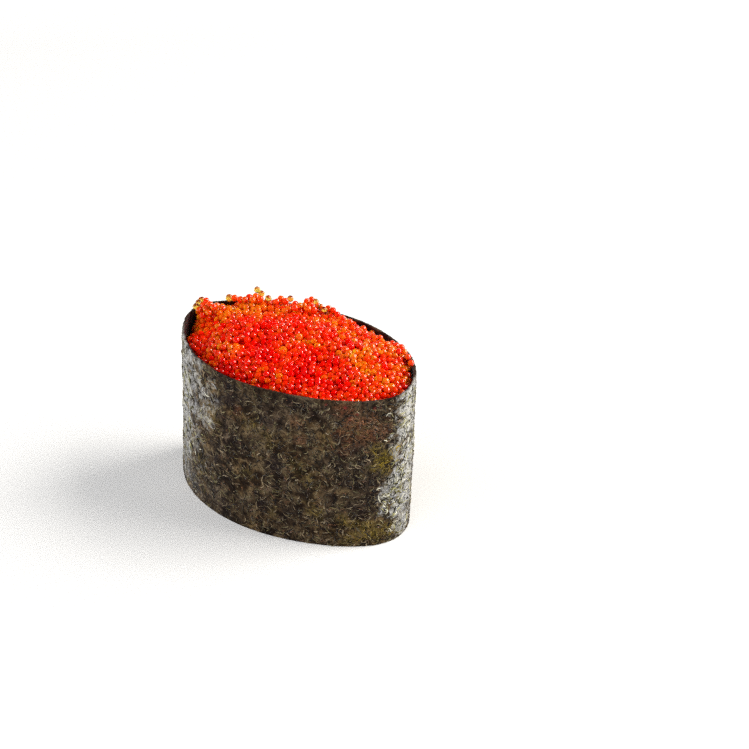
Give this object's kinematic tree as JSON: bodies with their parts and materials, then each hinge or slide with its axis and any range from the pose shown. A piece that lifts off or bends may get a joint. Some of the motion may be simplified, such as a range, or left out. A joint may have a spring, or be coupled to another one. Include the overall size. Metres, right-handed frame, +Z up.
{
  "type": "tobiko nigiri",
  "caption": "Gunkan sushi: an oval of pressed rice wrapped in a tall band of nori whose well is heaped above the rim with flying fish roe. One piece, without its dish.",
  "frame": {"origin": "on the table, under the middle of the whole piece's bounding box", "axes": "+Z up from the table to the roe, +X along the oval's long axis towards its blunter end"},
  "size_m": [0.0522, 0.0324, 0.0352],
  "materials": {
    "nori": "dark green-brown pressed seaweed, mottled with short fibres, satin gloss at grazing angles",
    "cooked_rice": "moist short-grain rice, off-white, slightly translucent",
    "flying_fish_roe": "wet translucent orange-red beads with small sharp highlights"
  },
  "bodies": {
    "root": {"nori_band": "nori", "rice": "cooked_rice", "tobiko": "flying_fish_roe"}
  },
  "joints": []
}
